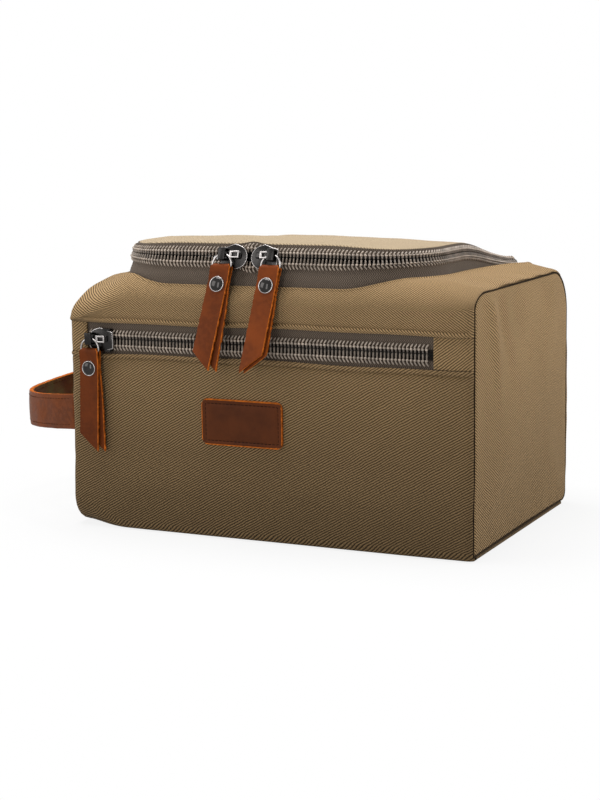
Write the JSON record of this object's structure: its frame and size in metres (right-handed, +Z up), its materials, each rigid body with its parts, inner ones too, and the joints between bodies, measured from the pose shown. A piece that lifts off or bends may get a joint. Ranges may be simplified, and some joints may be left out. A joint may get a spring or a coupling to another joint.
{
  "type": "shaving kit bag",
  "caption": "Canvas shaving kit bag with a zipped lid, a zipped front pocket, leather pulls on wire rings and a leather carrying strap on the left end.",
  "frame": {"origin": "centre of the base of the bag's box, on the surface that it stands on", "axes": "+X to the right of the pictured front, along the front, +Y towards the back, +Z up"},
  "size_m": [0.3307, 0.1869, 0.1756],
  "materials": {
    "canvas": "khaki cotton canvas, twill weave",
    "lining": "plain dark lining cloth",
    "binding": "woven seam binding",
    "board": "stiff board under the lining",
    "tape": "woven zip tape",
    "teeth": "coil zip teeth",
    "dark_metal": "dark nickel",
    "leather": "tan leather with raw edges",
    "dark_leather": "dark brown leather"
  },
  "bodies": {
    "bag": {"front_lower_panel": "canvas", "top_frame_panel": "canvas", "back_panel": "canvas", "bottom_panel": "canvas", "left_end_panel": "canvas", "right_end_panel": "canvas", "left_end_lining": "lining", "right_end_lining": "lining", "left_seam_binding": "binding", "right_seam_binding": "binding", "wrap_lining": "lining", "base_board": "board", "pocket_left_tab": "canvas", "pocket_right_tab": "canvas", "pocket_lining": "lining", "pocket_zip_lower_tape": "tape", "pocket_zip_upper_tape": "tape", "pocket_zip_lower_teeth": "teeth", "pocket_zip_upper_teeth": "teeth", "main_zip_lower_tape": "tape", "main_zip_lower_teeth": "teeth", "leather_patch": "dark_leather", "handle_strap": "leather"},
    "lid": {"lid_panel": "canvas", "lid_lining": "lining", "main_zip_upper_tape": "tape", "main_zip_upper_teeth": "teeth"},
    "left_slider": {"left_slider": "dark_metal"},
    "left_ring": {"left_ring": "dark_metal"},
    "left_pull": {"left_pull": "leather", "left_rivet_cap": "dark_metal", "left_rivet_back": "dark_metal"},
    "right_slider": {"right_slider": "dark_metal"},
    "right_ring": {"right_ring": "dark_metal"},
    "right_pull": {"right_pull": "leather", "right_rivet_cap": "dark_metal", "right_rivet_back": "dark_metal"},
    "pocket_slider": {"pocket_slider": "dark_metal"},
    "pocket_ring": {"pocket_ring": "dark_metal"},
    "pocket_pull": {"pocket_pull": "leather", "pocket_rivet_cap": "dark_metal", "pocket_rivet_back": "dark_metal"}
  },
  "joints": [
    {"name": "lid_hinge", "type": "hinge", "parent": "bag", "child": "lid", "pos_m": [0, 0.072, 0.154], "axis": [-1, 0, 0], "range_deg": [0, 172]},
    {"name": "left_slide", "type": "slide", "parent": "bag", "child": "left_slider", "axis": [-1, 0, 0], "range_m": [0, 0.034]},
    {"name": "left_ring_swing", "type": "hinge", "parent": "left_slider", "child": "left_ring", "pos_m": [-0.0255, -0.08192, 0.16792], "axis": [0, -0.9659, 0.2588], "range_deg": [-20, 8]},
    {"name": "left_pull_swing", "type": "hinge", "parent": "left_ring", "child": "left_pull", "pos_m": [-0.0255, -0.08394, 0.16039], "axis": [-1, 0, 0], "range_deg": [0, 110]},
    {"name": "right_slide", "type": "slide", "parent": "bag", "child": "right_slider", "axis": [1, 0, 0], "range_m": [0, 0.039]},
    {"name": "right_ring_swing", "type": "hinge", "parent": "right_slider", "child": "right_ring", "pos_m": [0.0061, -0.08192, 0.16792], "axis": [0, -0.9659, 0.2588], "range_deg": [-8, 22]},
    {"name": "right_pull_swing", "type": "hinge", "parent": "right_ring", "child": "right_pull", "pos_m": [0.0061, -0.08394, 0.16039], "axis": [-1, 0, 0], "range_deg": [0, 110]},
    {"name": "pocket_slide", "type": "slide", "parent": "bag", "child": "pocket_slider", "axis": [1, 0, 0], "range_m": [0, 0.2035]},
    {"name": "pocket_ring_swing", "type": "hinge", "parent": "pocket_slider", "child": "pocket_ring", "pos_m": [-0.1133, -0.0906, 0.1158], "axis": [0, -1, 0], "range_deg": [-12, 20]},
    {"name": "pocket_pull_swing", "type": "hinge", "parent": "pocket_ring", "child": "pocket_pull", "pos_m": [-0.1133, -0.0906, 0.108], "axis": [-1, 0, 0], "range_deg": [0, 110]}
  ]
}
